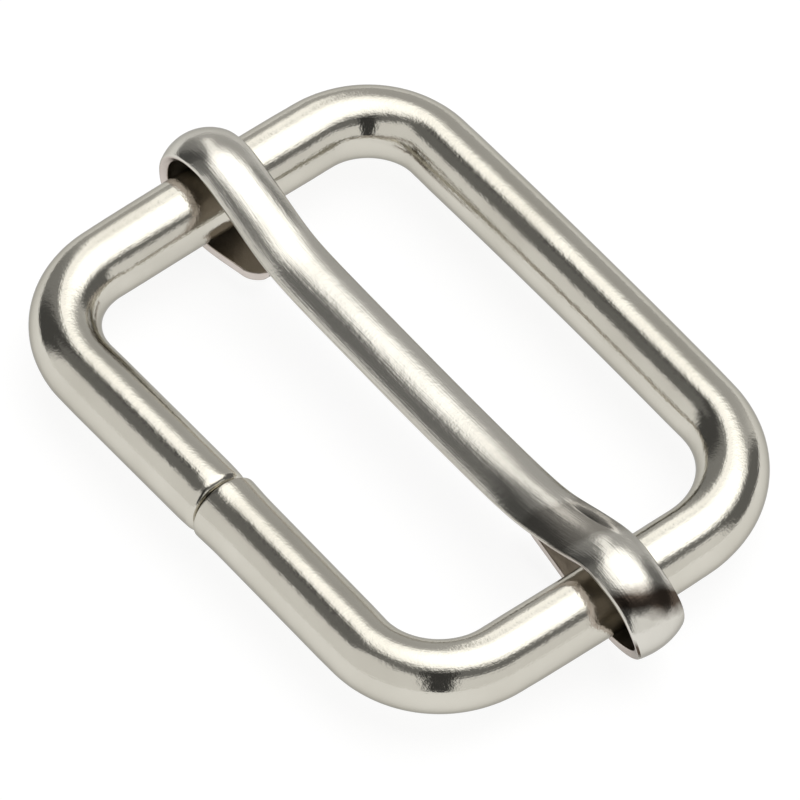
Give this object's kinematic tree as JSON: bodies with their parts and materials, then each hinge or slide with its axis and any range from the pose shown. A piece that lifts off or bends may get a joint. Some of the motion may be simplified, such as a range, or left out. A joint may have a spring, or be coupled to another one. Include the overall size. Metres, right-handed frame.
{
  "type": "webbing slider",
  "caption": "Rounded rectangular wire slider for flat webbing, with a shallow arched centre bar whose curled ends slide along the short sides.",
  "frame": {"origin": "centre of the wire rectangle, in the plane of the wire's centreline", "axes": "+X along the centre bar (the webbing's width), +Y the way the bar slides, towards the side without the wire's joint, +Z out of the bar's crowned side"},
  "size_m": [0.0366, 0.0248, 0.0064],
  "materials": {
    "wire": "bright nickel plate over steel wire, lightly pitted",
    "bar": "bright nickel plate over stamped steel sheet, faint drawing lines"
  },
  "bodies": {
    "frame": {"wire_frame": "wire"},
    "bar": {"sliding_bar": "bar"}
  },
  "joints": [
    {"name": "bar_slide", "type": "slide", "parent": "frame", "child": "bar", "axis": [0, 1, 0], "range_m": [-0.0078, 0.007]}
  ]
}
